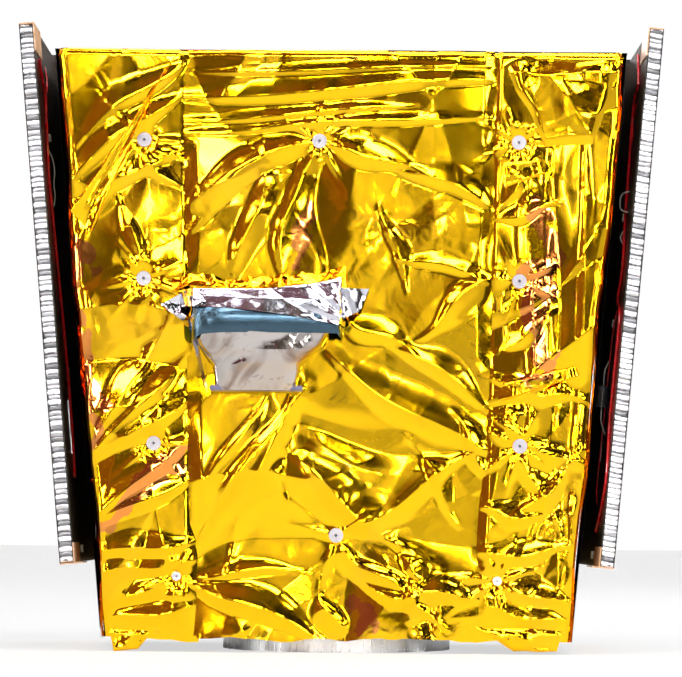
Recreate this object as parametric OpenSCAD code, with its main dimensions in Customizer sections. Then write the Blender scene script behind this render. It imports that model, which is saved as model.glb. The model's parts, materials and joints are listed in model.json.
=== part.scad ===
// Small satellite with a tapered body in film blankets and two folded solar wings.
// The front faces -Y, the right wing is on +X, and the part stands on its separation ring.

/* [Wings] */
// Length of a wing along its slope
wing_length = 494; // [400:1:600]
// Depth of a wing from its front edge to its hinge edge
wing_depth = 220; // [180:1:270]
// Thickness of a wing panel with its two skins
wing_thickness = 12.7; // [8:0.1:20]
// Thickness of one face skin
skin_thickness = 0.8; // [0.4:0.1:1.5]
// Height of a wing's lower end above the ground, along the slope
wing_lift = 80; // [50:1:120]
// Distance from the middle to a wing's inner face, at the ground
wing_floor_half = 230.8; // [180:1:300]
// Lean of the wings and the body's sides
lean = 5.2; // [0:0.1:10]
// Distance of the hinge line outside a wing's outer skin
hinge_offset = 5; // [4.5:0.1:8]

/* [Body] */
// Height of the top of the blanketed body
body_top = 549; // [450:1:600]
// Place of the body's front face
front_y = -100; // [-130:1:-80]
// Gap between a wing and the body's side at the front
side_gap_front = 19; // [14:0.5:30]
// Gap between a wing and the body's side behind the knee of the side
side_gap_rear = 9; // [7:0.5:13]
// Depth over which the side flares out
flare_depth = 165; // [100:1:180]
// Thickness of the base and top plates
plate_thickness = 12; // [8:0.5:16]
// Thickness of the front and side panels
panel_thickness = 10; // [6:0.5:14]
// Thickness of the rear panel
rear_thickness = 13; // [8:0.5:16]
// Height of the rear panel's top edge
rear_top = 580; // [560:1:640]
// Height at which the blankets end above the ground
skirt_height = 11; // [1:0.5:12]

/* [Blankets] */
// Thickness of the front blankets
front_blanket = 4; // [2:0.5:8]
// Thickness of the side and top blankets
side_blanket = 3; // [2:0.5:5]
// Distance of a seam from the middle at the top
seam_top = 143; // [120:1:160]
// Distance of a seam from the middle at the bottom
seam_low = 130; // [110:1:150]
// Radius of a blanket button
button_radius = 6.5; // [4:0.1:9]
// Thickness of a blanket button
button_thickness = 2.5; // [1:0.1:4]
// Radius of a lower stud
stud_radius = 4; // [2:0.1:6]

/* [Sensor] */
// Width of the sensor housing
housing_width = 128; // [90:1:130]
// Height of the sensor housing
housing_height = 84; // [60:1:110]
// How far the sensor housing stands out of the blanket
housing_reach = 34; // [20:1:60]
// Place of the housing's middle across the body
housing_x = -64; // [-70:1:70]
// Height of the housing's lower edge
housing_z = 236; // [150:1:300]
// Thickness of the film hood over the housing
hood_thickness = 6; // [3:0.5:10]
// Height of the hood over the housing's upper part
hood_height = 40; // [25:1:60]

/* [Separation ring] */
// Diameter of the ring's bolt circle
ring_pitch = 203.2; // [150:0.1:215]
// Width of the ring's flange
ring_width = 22; // [18:0.5:30]
// Height of the ring
ring_height = 18; // [12:0.5:24]
// Radius of a bolt hole in the ring
bolt_radius = 3.25; // [2:0.05:4]
// Number of bolt holes
bolt_count = 12; // [8:1:24]

/* [Hinges] */
// Radius of a hinge knuckle
knuckle_radius = 4; // [3:0.1:4.5]
// Radius of a hinge pin
pin_radius = 2; // [1:0.1:2.5]
// Radial clearance of the wing's knuckle on its pin
pin_clearance = 0.08; // [0.05:0.01:0.1]
// Length of the whole hinge
hinge_length = 60; // [40:1:90]
// Distance of a hinge's middle from the wing's end
hinge_inset = 80; // [50:1:140]
// Thickness of a hinge leaf
leaf_thickness = 2; // [1.2:0.1:2.6]

/* [Fittings] */
// Depth of a corner clip's leg along the wing
clip_depth = 57; // [30:1:90]
// Height of an upper corner clip's leg
upper_clip_height = 25; // [15:1:40]
// Height of a lower corner clip's leg
lower_clip_height = 18; // [10:1:30]
// Thickness of the clips' sheet
clip_thickness = 1.2; // [0.8:0.1:2]
// Lip of a lower clip past the wing's inner face
clip_lip = 6; // [3:0.5:8]
// Radius of the wire bundle on a wing
wire_radius = 1.3; // [0.8:0.1:2]
// Side of a square tie base
tie_size = 7; // [5:0.5:12]

/* [Hidden] */
$fn = 48;

left = -1;
right = 1;
big = 2000;
film_gap = 0.2;            // between pieces that lie on each other

// Heights
base_z = ring_height;
wall_z = base_z + plate_thickness;
plate_top = body_top - side_blanket;
wall_top = plate_top - plate_thickness;
wing_end = wing_lift + wing_length;
rear_low = wing_lift * cos(lean);

// Depths
panel_y = front_y + front_blanket;
hinge_gap = 6;             // between a wing's hinge edge and the rear panel
wing_rear = front_y + wing_depth;
rear_y = wing_rear + hinge_gap;
knee_y = front_y + flare_depth;
cell_thickness = 1;
ring_y = (panel_y + rear_y) / 2;

// Hinge line in a side's own frame
pivot_x = wing_thickness + hinge_offset;
pivot_y = wing_rear + hinge_gap / 2;
hinge_heights = [wing_lift + hinge_inset, wing_end - hinge_inset];
knuckle_gap = 0.3;

// Solar cells: columns and rows on a wing, rows on the rear panel, and their gaps
wing_cell_grid = [3, 6];
rear_cell_rows = 5;
rear_cell_width = 66;
cell_gap = 2;
cell_margin = 9;

// Buttons on the front: across, up
buttons = [[-179, 465], [-178, 338], [-167, 188], [-19, 465], [-1, 106],
    [163, 465], [164, 338], [165, 188]];
studs = [[-145, 68], [145, 66]];

// Wire routes on the wings' inner faces: distance behind the front edge, height on the slope
right_wire = [[85, 563], [52, 530], [80, 516], [68, 440], [58, 399], [38, 358], [58, 329],
    [29, 317], [19, 303], [22, 257], [24, 212], [10, 184], [5, 156], [35, 128], [60, 112]];
left_wire = [[24, 544], [34, 532], [56, 516], [47, 488], [31, 436], [36, 414], [52, 346],
    [66, 288], [72, 218], [60, 158]];

// Tie bases on the wings' inner faces: distance behind the front edge, height on the slope
right_ties = [[82, 90], [84, 408], [90, 308]];
left_ties = [[82, 92], [80, 258], [76, 478]];
capsule_place = [82, 238];
capsule_length = 20;
capsule_radius = 5;

// The frame of one side: x from the wing's inner face outward, z up the slope.
module on_side(side) {
    mirror([side < 0 ? 1 : 0, 0, 0]) translate([wing_floor_half, 0, 0]) rotate([0, lean, 0]) children();
}

// Everything inside one side of the body, drawn back by inset.
module inside_of(side, inset) {
    on_side(side) translate([0, 0, -big / 2]) linear_extrude(big) polygon([
        [-big, front_y - big], [-side_gap_front - inset, front_y - big],
        [-side_gap_front - inset, front_y], [-side_gap_rear - inset, knee_y],
        [-side_gap_rear - inset, big], [-big, big]]);
}

// A horizontal slice of the body between two depths.
module body_slice(inset, low, high, from_y, to_y) {
    intersection() {
        translate([-big / 2, from_y, low]) cube([big, to_y - from_y, high - low]);
        inside_of(left, inset);
        inside_of(right, inset);
    }
}

// A wall along one side of the body.
module side_wall(side, outer, inner, low, high) {
    difference() {
        intersection() {
            translate([side > 0 ? 0 : -big, panel_y, low]) cube([big, rear_y - panel_y, high - low]);
            inside_of(side, outer);
        }
        inside_of(side, inner);
    }
}

module separation_ring() {
    color("gainsboro") translate([0, ring_y, 0]) difference() {
        cylinder(r = ring_pitch / 2 + ring_width / 2 - 6, h = ring_height, $fn = 96);
        translate([0, 0, -1]) cylinder(r = ring_pitch / 2 - ring_width / 2, h = ring_height + 2, $fn = 96);
        for (i = [0:bolt_count - 1]) rotate(i * 360 / bolt_count)
            translate([ring_pitch / 2, 0, -1]) cylinder(r = bolt_radius, h = ring_height + 2);
    }
}

module base_plate() {
    color("silver") body_slice(side_blanket, base_z, wall_z, panel_y, rear_y);
}

module top_plate() {
    color("silver") body_slice(side_blanket, wall_top, plate_top, panel_y, rear_y);
}

module front_panel() {
    color("silver")
        body_slice(side_blanket + panel_thickness, wall_z, wall_top, panel_y, panel_y + panel_thickness);
}

module side_panel(side) {
    color("silver")
        side_wall(side, side_blanket, side_blanket + panel_thickness, wall_z, wall_top);
}

// Half the width at a height, for a face this far out from the wings' inner faces.
function half_at(z, out) = wing_floor_half + z * tan(lean) + out / cos(lean);

// As wide as the folded wings beside them, and as the body below them.
module rear_panel() {
    corners = [[base_z, -side_gap_rear], [rear_low, -side_gap_rear], [rear_low, wing_thickness],
        [rear_top, wing_thickness]];
    outline = concat([for (c = corners) [half_at(c[0], c[1]), c[0]]],
        [for (i = [3:-1:0]) [-half_at(corners[i][0], corners[i][1]), corners[i][0]]]);
    color("dimgray") translate([0, rear_y + rear_thickness, 0])
        rotate([90, 0, 0]) linear_extrude(rear_thickness) polygon(outline);
}

// A field of cells, columns by rows, each one a separate plate.
module cell_field(size, grid) {
    pitch = [for (i = [0, 1]) (size[i] + cell_gap) / grid[i]];
    for (i = [0:grid[0] - 1]) for (j = [0:grid[1] - 1])
        translate([i * pitch[0], j * pitch[1], 0])
            cube([pitch[0] - cell_gap, pitch[1] - cell_gap, cell_thickness]);
}

// Rows of equal cells on the rear panel; a row holds as many as its height allows.
module rear_cells() {
    low = rear_low + cell_margin;
    row = (rear_top - cell_margin - low + cell_gap) / rear_cell_rows;
    pitch = rear_cell_width + cell_gap;
    color("midnightblue") for (j = [0:rear_cell_rows - 1])
        let (z = low + j * row, width = 2 * half_at(z, wing_thickness - cell_margin),
            count = floor((width + cell_gap) / pitch))
            translate([-(count * pitch - cell_gap) / 2, rear_y + rear_thickness + cell_thickness, z])
                rotate([90, 0, 0]) cell_field([count * pitch - cell_gap, row - cell_gap], [count, 1]);
}

module avionics_block() {
    color("darkslategray") translate([-150, ring_y - 70, wall_z]) cube([300, 140, 200]);
}

// One front blanket between two seam lines, each given low and high.
module front_sheet(low_from, low_to, high_from, high_to) {
    translate([0, panel_y, 0]) rotate([90, 0, 0]) linear_extrude(front_blanket) polygon([
        [low_from, skirt_height], [low_to, skirt_height], [high_to, body_top], [high_from, body_top]]);
}

module front_side_sheet(side) {
    color("goldenrod") front_sheet(side * seam_low, side * half_at(skirt_height, -side_gap_front),
        side * seam_top, side * half_at(body_top, -side_gap_front));
}

module front_blanket_middle() {
    color("gold") difference() {
        front_sheet(-seam_low, seam_low, -seam_top, seam_top);
        sensor_block(panel_y + 1, front_y - 1, film_gap);
    }
}

module side_sheet(side) {
    color("goldenrod") side_wall(side, 0, side_blanket, skirt_height, body_top);
}

module top_blanket() {
    color("gold") body_slice(side_blanket, plate_top, body_top, panel_y, rear_y);
}

module blanket_buttons() {
    color("lightgray") for (b = buttons) translate([b[0], front_y, b[1]]) rotate([90, 0, 0])
        cylinder(r = button_radius, h = button_thickness);
}

module blanket_studs() {
    color("silver") for (s = studs) translate([s[0], front_y, s[1]]) rotate([90, 0, 0])
        cylinder(r = stud_radius, h = button_thickness);
}

// The housing's bowl-shaped outline between two depths, grown by a clearance.
module sensor_block(rear, front, clearance) {
    half = housing_width / 2 + clearance;
    low = -clearance;
    high = housing_height + clearance;
    translate([housing_x, rear, housing_z]) rotate([90, 0, 0]) linear_extrude(rear - front) polygon([
        [-half, high], [-half, high - 55], [-half + 10, low + 10], [-half + 22, low],
        [half - 40, low], [half - 26, low + 12], [half, high - 42], [half, high]]);
}

module sensor_housing() {
    color("lightgray") sensor_block(panel_y, front_y - housing_reach, 0);
}

module sensor_hood() {
    color("silver") difference() {
        translate([housing_x - housing_width / 2 - hood_thickness, front_y - housing_reach - hood_thickness,
                housing_z + housing_height - hood_height + hood_thickness])
            cube([housing_width + 2 * hood_thickness, housing_reach + hood_thickness, hood_height]);
        sensor_block(panel_y, front_y - housing_reach, 0);
    }
}

// The outer knuckles and leaf on the rear panel's side edge.
module hinge_frame(side) {
    third = hinge_length / 3;
    color("gray") on_side(side) for (z = hinge_heights) difference() {
        union() {
            translate([wing_thickness, pivot_y, z - hinge_length / 2])
                cube([leaf_thickness, rear_y + rear_thickness - pivot_y, third - knuckle_gap]);
            translate([wing_thickness, pivot_y, z + hinge_length / 2 - third + knuckle_gap])
                cube([leaf_thickness, rear_y + rear_thickness - pivot_y, third - knuckle_gap]);
            translate([wing_thickness, pivot_y + knuckle_radius + 1, z - hinge_length / 2])
                cube([leaf_thickness, rear_y + rear_thickness - pivot_y - knuckle_radius - 1, hinge_length]);
            translate([pivot_x, pivot_y, z - hinge_length / 2])
                cylinder(r = knuckle_radius, h = third - knuckle_gap);
            translate([pivot_x, pivot_y, z + hinge_length / 2 - third + knuckle_gap])
                cylinder(r = knuckle_radius, h = third - knuckle_gap);
        }
        translate([pivot_x, pivot_y, z - hinge_length]) cylinder(r = pin_radius, h = 2 * hinge_length);
    }
}

module hinge_pins(side) {
    color("lightsteelblue") on_side(side) for (z = hinge_heights)
        translate([pivot_x, pivot_y, z - hinge_length / 2 - 1]) cylinder(r = pin_radius, h = hinge_length + 2);
}

// The wing's leaf with its middle knuckle.
module wing_hinge(side) {
    third = hinge_length / 3;
    color("silver") on_side(side) for (z = hinge_heights) difference() {
        union() {
            translate([wing_thickness, pivot_y - 26, z - third / 2])
                cube([leaf_thickness, 26, third]);
            translate([wing_thickness, pivot_y - 30, z - hinge_length / 2])
                cube([leaf_thickness, 24, hinge_length]);
            translate([pivot_x, pivot_y, z - third / 2]) cylinder(r = knuckle_radius, h = third);
        }
        translate([pivot_x, pivot_y, z - hinge_length])
            cylinder(r = pin_radius + pin_clearance, h = 2 * hinge_length);
    }
}

// A layer of the wing between two distances from its inner face.
module wing_layer(side, from, to) {
    on_side(side) translate([from, front_y, wing_lift]) cube([to - from, wing_depth, wing_length]);
}

module wing_core(side) {
    color("silver") wing_layer(side, skin_thickness, wing_thickness - skin_thickness);
}

module wing_inner_skin(side) {
    color("dimgray") wing_layer(side, 0, skin_thickness);
}

module wing_outer_skin(side) {
    color("dimgray") wing_layer(side, wing_thickness - skin_thickness, wing_thickness);
}

module wing_cells(side) {
    field = [wing_depth - 30 - 2 * cell_margin, wing_length - 2 * cell_margin];
    color("midnightblue") on_side(side)
        translate([wing_thickness + cell_thickness, front_y + cell_margin, wing_lift + cell_margin])
            rotate([90, 0, 90]) mirror([0, 0, 1]) cell_field(field, wing_cell_grid);
}

// Sheet angles over the front corners of the wing's two ends.
module wing_clips(side) {
    t = clip_thickness;
    color("tan") on_side(side) {
        translate([-t, front_y, wing_end - upper_clip_height])
            cube([t, clip_depth, upper_clip_height + t]);
        translate([-t, front_y, wing_end]) cube([wing_thickness + t, clip_depth, t]);
        translate([-t, front_y, wing_lift - t]) cube([t, clip_depth, lower_clip_height + t]);
        translate([-t - clip_lip, front_y, wing_lift - t]) cube([wing_thickness + t + clip_lip, clip_depth, t]);
    }
}

// A smooth path through a list of points, with steps pieces between two points.
function curve(a, b, c, d, t) = 0.5 * (2 * b + (c - a) * t + (2 * a - 5 * b + 4 * c - d) * t * t
    + (3 * b - a - 3 * c + d) * t * t * t);
function smooth_path(path, steps) = concat([for (i = [0:len(path) - 2]) for (k = [0:steps - 1])
    curve(path[max(i - 1, 0)], path[i], path[i + 1], path[min(i + 2, len(path) - 1)], k / steps)],
    [path[len(path) - 1]]);

// A tube along a path of [depth, height] that lies on the wing's inner face.
module wire(path, radius) {
    line = smooth_path(path, 3);
    count = len(line);
    sides = 8;
    points = [for (i = [0:count - 1])
        let (ahead = line[min(i + 1, count - 1)] - line[max(i - 1, 0)], along = ahead / norm(ahead))
        for (k = [0:sides - 1]) [-radius - film_gap + radius * cos(k * 360 / sides),
            front_y + line[i][0] - radius * sin(k * 360 / sides) * along[1],
            line[i][1] + radius * sin(k * 360 / sides) * along[0]]];
    walls = [for (i = [0:count - 2]) for (k = [0:sides - 1])
        [i * sides + k, i * sides + (k + 1) % sides, (i + 1) * sides + (k + 1) % sides, (i + 1) * sides + k]];
    start = [[for (k = [0:sides - 1]) sides - 1 - k]];
    end = [[for (k = [0:sides - 1]) (count - 1) * sides + k]];
    polyhedron(points, concat(walls, start, end));
}

module wing_harness(side, route) {
    color("firebrick") on_side(side) wire(route, wire_radius);
}

module wing_tie_bases(side, places) {
    color("white") on_side(side) for (p = places)
        translate([-2, front_y + p[0] - tie_size / 2, p[1] - tie_size / 2]) cube([2, tie_size, tie_size]);
}

module harness_capsule() {
    color("dimgray") on_side(right)
        translate([-capsule_radius, front_y + capsule_place[0], capsule_place[1] - capsule_length / 2])
            cylinder(r = capsule_radius, h = capsule_length);
}

separation_ring();
base_plate();
top_plate();
front_panel();
side_panel(left);  // side_panel_left
side_panel(right);  // side_panel_right
rear_panel();
rear_cells();
avionics_block();
front_side_sheet(left);  // front_blanket_left
front_blanket_middle();
front_side_sheet(right);  // front_blanket_right
side_sheet(left);  // side_blanket_left
side_sheet(right);  // side_blanket_right
top_blanket();
blanket_buttons();
blanket_studs();
sensor_housing();
sensor_hood();
hinge_frame(left);  // hinge_frame_left
hinge_frame(right);  // hinge_frame_right
hinge_pins(left);  // hinge_pins_left
hinge_pins(right);  // hinge_pins_right
wing_core(left);  // wing_core_left
wing_inner_skin(left);  // wing_inner_skin_left
wing_outer_skin(left);  // wing_outer_skin_left
wing_cells(left);  // wing_cells_left
wing_clips(left);  // wing_clips_left
wing_hinge(left);  // wing_hinge_left
wing_harness(left, left_wire);  // wing_harness_left
wing_tie_bases(left, left_ties);  // wing_tie_bases_left
wing_core(right);  // wing_core_right
wing_inner_skin(right);  // wing_inner_skin_right
wing_outer_skin(right);  // wing_outer_skin_right
wing_cells(right);  // wing_cells_right
wing_clips(right);  // wing_clips_right
wing_hinge(right);  // wing_hinge_right
wing_harness(right, right_wire);  // wing_harness_right
wing_tie_bases(right, right_ties);  // wing_tie_bases_right
harness_capsule();
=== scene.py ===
# %% [markdown]
# # A small satellite in gold film
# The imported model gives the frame: every plate, hinge and bolt hole at its real size. This lesson
# keeps the hard parts, gives them real finishes, and models what a solid modeller can't: crumpled
# film, an open honeycomb edge, and a hood sewn from metallised foil. All lengths are in metres.

# %% Load the frame
import json
import math
import bpy
import numpy as np
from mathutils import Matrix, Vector


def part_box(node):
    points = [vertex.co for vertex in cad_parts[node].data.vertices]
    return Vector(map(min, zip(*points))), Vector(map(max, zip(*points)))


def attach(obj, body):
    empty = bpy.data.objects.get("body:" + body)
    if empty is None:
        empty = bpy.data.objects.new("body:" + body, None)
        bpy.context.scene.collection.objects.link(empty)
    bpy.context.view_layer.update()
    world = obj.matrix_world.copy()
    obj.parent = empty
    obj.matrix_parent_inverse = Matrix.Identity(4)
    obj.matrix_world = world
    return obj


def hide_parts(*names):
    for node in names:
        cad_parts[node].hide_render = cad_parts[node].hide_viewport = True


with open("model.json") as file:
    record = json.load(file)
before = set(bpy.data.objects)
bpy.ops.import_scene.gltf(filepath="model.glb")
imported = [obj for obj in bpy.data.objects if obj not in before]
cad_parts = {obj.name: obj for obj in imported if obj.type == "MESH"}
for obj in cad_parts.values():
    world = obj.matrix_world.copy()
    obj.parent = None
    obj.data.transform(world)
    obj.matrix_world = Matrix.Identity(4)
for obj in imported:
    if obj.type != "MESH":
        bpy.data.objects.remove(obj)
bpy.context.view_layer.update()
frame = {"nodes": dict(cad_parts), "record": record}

MM = 0.001
nodes = frame["nodes"]

# %% [markdown]
# ## Camera
# A long lens far away keeps the two wings almost parallel. It stands low, level with the lower part
# of the body, and looks up a little, so that the film's top edge is seen from just below.

# %% Camera
CAMERA_PLACE = (0.0035, -2.7, 0.111)
LENS_MM = 151.3
PITCH_UP = 3.82
ROLL = -0.48
bpy.ops.object.camera_add(location=CAMERA_PLACE,
                          rotation=(math.radians(90 + PITCH_UP), math.radians(ROLL), 0))
camera = bpy.context.object
camera.data.lens = LENS_MM
camera.data.sensor_width = 36
camera.data.clip_end = 50
bpy.context.scene.camera = camera

# %% [markdown]
# ## Shader maths
# A material is a graph of nodes. Building one by hand hides the maths, so one small class wraps a
# socket and lets `mask * 0.5 + 0.2` add its own Math nodes. `Finish` starts a material and has one
# method, `node`, for every other kind of node.

# %% Shader helpers
class Value:
    """A number socket that can be added, multiplied and compared."""

    def __init__(self, finish, socket):
        self.finish, self.socket = finish, socket

    def math(self, operation, *others):
        node = self.finish.tree.nodes.new("ShaderNodeMath")
        node.operation = operation
        for slot, item in enumerate((self, *others)):
            self.finish.feed(node.inputs[slot], item)
        return Value(self.finish, node.outputs[0])

    def _turned(self, operation, other):
        node = self.finish.tree.nodes.new("ShaderNodeMath")
        node.operation = operation
        self.finish.feed(node.inputs[0], other)
        self.finish.feed(node.inputs[1], self)
        return Value(self.finish, node.outputs[0])

    def __add__(self, other): return self.math("ADD", other)
    def __radd__(self, other): return self._turned("ADD", other)
    def __sub__(self, other): return self.math("SUBTRACT", other)
    def __rsub__(self, other): return self._turned("SUBTRACT", other)
    def __mul__(self, other): return self.math("MULTIPLY", other)
    def __rmul__(self, other): return self._turned("MULTIPLY", other)
    def __truediv__(self, other): return self.math("DIVIDE", other)
    def __gt__(self, other): return self.math("GREATER_THAN", other)
    def __lt__(self, other): return self.math("LESS_THAN", other)
    def __pow__(self, other): return self.math("POWER", other)

    def step(self, low, high):
        """0 below low, 1 above high, smooth between."""
        node = self.finish.node("ShaderNodeMapRange", {0: self, 1: low, 2: high},
                                interpolation_type="SMOOTHSTEP", clamp=True)
        return Value(self.finish, node.outputs[0])


class Finish:
    """A material, or the world, and the nodes that make its look."""

    def __init__(self, tree):
        self.tree = tree

    def feed(self, socket, item):
        if isinstance(item, Value):
            self.tree.links.new(item.socket, socket)
        elif isinstance(item, bpy.types.NodeSocket):
            self.tree.links.new(item, socket)
        else:
            socket.default_value = item

    def node(self, kind, inputs=None, ramp=None, **settings):
        made = self.tree.nodes.new(kind)
        for name, setting in settings.items():
            setattr(made, name, setting)
        if ramp:
            stops = made.color_ramp.elements
            while len(stops) > 1:
                stops.remove(stops[-1])
            stops[0].position, stops[0].color = ramp[0]
            for position, color in ramp[1:]:
                stops.new(position).color = color
        for name, item in (inputs or {}).items():
            self.feed(made.inputs[name], item)
        return made

    def value(self, *args, output=0, **kwargs):
        return Value(self, self.node(*args, **kwargs).outputs[output])

    def mix(self, amount, first, second):
        """A colour between two colours."""
        made = self.node("ShaderNodeMix", {0: amount, 6: first, 7: second}, data_type="RGBA")
        return made.outputs[2]

    def noise(self, vector, scale, detail=3.0, distortion=0.0, roughness=0.5):
        return self.value("ShaderNodeTexNoise", {"Vector": vector, "Scale": scale, "Detail": detail,
                                                 "Distortion": distortion, "Roughness": roughness})

    def place(self):
        return self.node("ShaderNodeTexCoord").outputs["Object"]

    def scaled(self, vector, scale, rotation=(0, 0, 0)):
        return self.node("ShaderNodeMapping", {"Vector": vector, "Scale": scale,
                                               "Rotation": rotation}).outputs[0]

    def bump(self, height, strength, distance):
        return self.node("ShaderNodeBump", {"Height": height, "Strength": strength,
                                            "Distance": distance}).outputs[0]


def new_finish(name, **constants):
    """A material whose shader starts from these constants."""
    material = bpy.data.materials.new(name)
    material.use_nodes = True
    finish = Finish(material.node_tree)
    finish.material = material
    finish.shader = next(n for n in material.node_tree.nodes if n.type == "BSDF_PRINCIPLED")
    for socket, setting in constants.items():
        finish.shader.inputs[socket.replace("_", " ")].default_value = setting
    return finish


def grey(level):
    return (level, level, level, 1.0)

# %% [markdown]
# ## Stage, lamps and surroundings
# Bright metal shows its surroundings more than itself. A plain white room would turn the film into
# flat yellow, so what glossy rays see is a room: white straight ahead and in patches, with darker
# and warmer walls between them. The camera itself sees only white.

# %% Floor
bpy.ops.mesh.primitive_plane_add(size=30, location=(0, 0, 0))
floor = bpy.context.object
floor.name = "studio_floor"
floor_finish = new_finish("studio floor", Roughness=0.9)
floor_finish.shader.inputs["Base Color"].default_value = grey(0.86)
floor.data.materials.append(floor_finish.material)
floor_tree = floor_finish.tree
floor_ray = floor_finish.node("ShaderNodeLightPath")
floor_glow = floor_finish.node("ShaderNodeEmission", {"Color": grey(1.0), "Strength": 1.0})
floor_output = next(n for n in floor_tree.nodes if n.type == "OUTPUT_MATERIAL")
seen = Value(floor_finish, floor_ray.outputs["Is Camera Ray"]) * 0.62
floor_mix = floor_finish.node("ShaderNodeMixShader", {0: seen, 1: floor_finish.shader.outputs[0],
                                                      2: floor_glow.outputs[0]})
floor_tree.links.new(floor_mix.outputs[0], floor_output.inputs[0])

# %% World
world = bpy.data.worlds.new("studio room")
world.use_nodes = True
bpy.context.scene.world = world
world.node_tree.nodes.clear()
room = Finish(world.node_tree)
direction = room.node("ShaderNodeTexCoord").outputs["Generated"]
axes = room.node("ShaderNodeSeparateXYZ", {0: direction})
right_way, back_way, up_way = (Value(room, axes.outputs[i]) for i in range(3))
wander = room.noise(direction, 2.4, detail=2.0, distortion=0.6)
drift = room.noise(room.scaled(direction, (1.3, 1.3, -1.3)), 3.1, detail=2.0, distortion=0.6)
ripple = room.noise(direction, 5.0, detail=1.0, distortion=0.8)


def stripes(way, count, shift):
    """Light and dark bands, narrow straight ahead and broad further out."""
    spread = way.math("ABSOLUTE") * 4 + 1
    return (way * count / spread + shift).math("COSINE")


height_way = stripes(up_way + (wander - 0.5) * 0.40, 27, -1.5)
across_way = stripes(right_way + (drift - 0.5) * 0.40, 22, -0.5)
far = 1 - (0 - back_way).step(0.78, 0.95)
brightness = height_way + across_way + (ripple - 0.5) * 1.0 - far * 0.7
white_wall = brightness.step(0.20, 1.85)
dark_wall = room.mix(ripple.step(0.42, 0.60), (0.13, 0.10, 0.07, 1), (0.02, 0.018, 0.018, 1))
warm_patch = (drift * 0.8 - right_way * 0.6 + up_way * 0.2).step(0.50, 0.58)
walls = room.mix(warm_patch * 0.35, dark_wall, (0.56, 0.22, 0.26, 1))
window = room.noise(direction, 12.0, detail=0.0).step(0.70, 0.71)
behind = back_way.step(-0.05, 0.45) * 0.8
lit_wall = room.mix(wander.step(0.40, 0.56), grey(0.66), grey(0.92))
seen_room = room.mix(white_wall, walls, lit_wall)
seen_room = room.mix(behind, seen_room, (0.10, 0.085, 0.075, 1))
seen_room = room.mix(window * (1 - behind), seen_room, grey(36.0))
rays = room.node("ShaderNodeLightPath")
is_camera, is_glossy = (Value(room, rays.outputs[name]) for name in ("Is Camera Ray", "Is Glossy Ray"))
is_transmitted = Value(room, rays.outputs["Is Transmission Ray"])
plain = room.mix(is_camera.math("MAXIMUM", is_transmitted), grey(0.62), grey(1.0))
sky = room.mix(is_glossy, plain, seen_room)
background = room.node("ShaderNodeBackground", {"Color": sky, "Strength": 1.0})
world_output = room.node("ShaderNodeOutputWorld")
world.node_tree.links.new(background.outputs[0], world_output.inputs[0])

# %% Lamps
LAMPS = [  # name, place, size, watts
    ("key", (-1.3, -2.4, 1.9), 0.55, 26),
    ("fill", (1.6, -2.2, 1.1), 0.5, 15),
    ("top", (0.2, -0.6, 2.2), 0.7, 16),
    ("back", (1.7, 1.8, 2.0), 1.0, 26),
]
for name, place, size, watts in LAMPS:
    aim = (Vector((0, 0, 0.3)) - Vector(place)).to_track_quat("-Z", "Y").to_euler()
    bpy.ops.object.light_add(type="AREA", location=place, rotation=aim)
    lamp = bpy.context.object
    lamp.name = f"{name}_lamp"
    lamp.data.size, lamp.data.energy = size, watts
    lamp.data.specular_factor = 0.5
bpy.context.scene.view_settings.view_transform = "Standard"

# %% [markdown]
# ## Gold film
# The film is clear amber plastic with metal behind it, so it is a metal of a strong yellow with a
# clear coat over it: lamps glint white in the coat, the room shows yellow, olive or copper in the
# metal. Fine creases that are too small to model are bump.

# %% Film finishes
def film_finish(name, color, deep, warm, roughness=0.07, crease=0.5, spots=1.0, strength=1.0,
                lights=()):
    finish = new_finish(name, Metallic=1.0, Coat_Roughness=0.04, Coat_IOR=1.45)
    finish.shader.inputs["Coat Weight"].default_value = 0.25
    place = finish.place()
    # Painted reflections: noise patches mix the warm and the deep colour into the base colour, standing in for the
    # room mirrored in the film.
    patch = finish.noise(place, 9.0 * spots, detail=3.0, distortion=1.2)
    dark_reflection_noise = finish.noise(place, 21.0 * spots, detail=2.0, distortion=2.0)
    shade = finish.mix(patch.step(0.50, 0.74) * (0.16 * strength), color, warm)
    shade = finish.mix(dark_reflection_noise.step(0.60, 0.74) * (0.10 * strength), shade, deep)
    axes = finish.node("ShaderNodeSeparateXYZ", {0: place})
    x, z = Value(finish, axes.outputs["X"]), Value(finish, axes.outputs["Z"])
    # Painted reflections: copper ellipses at the listed spots are painted into the base colour.
    for middle_x, middle_z, wide, tall, slant in lights:
        up = z - middle_z * MM
        across = (x - middle_x * MM + up * slant + (patch - 0.5) * 0.10 + (dark_reflection_noise - 0.5) * 0.05) / (wide * MM)
        up = up / (tall * MM)
        glow = (1 - across * across - up * up).step(0.0, 0.12)
        shade = finish.mix(glow * 0.85, shade, PAINTED_WARM_REFLECTION)
    finish.feed(finish.shader.inputs["Base Color"], shade)
    haze = finish.noise(place, 60.0, detail=4.0)
    finish.feed(finish.shader.inputs["Roughness"], haze * 0.06 + (roughness - 0.03))
    wrinkle = finish.noise(place, 34.0, detail=2.0, distortion=1.5)
    height = wrinkle * (patch.step(0.42, 0.62) * 0.7 + 0.2)
    finish.feed(finish.shader.inputs["Normal"], finish.bump(height, crease, 0.0007))
    return finish.material


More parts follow.
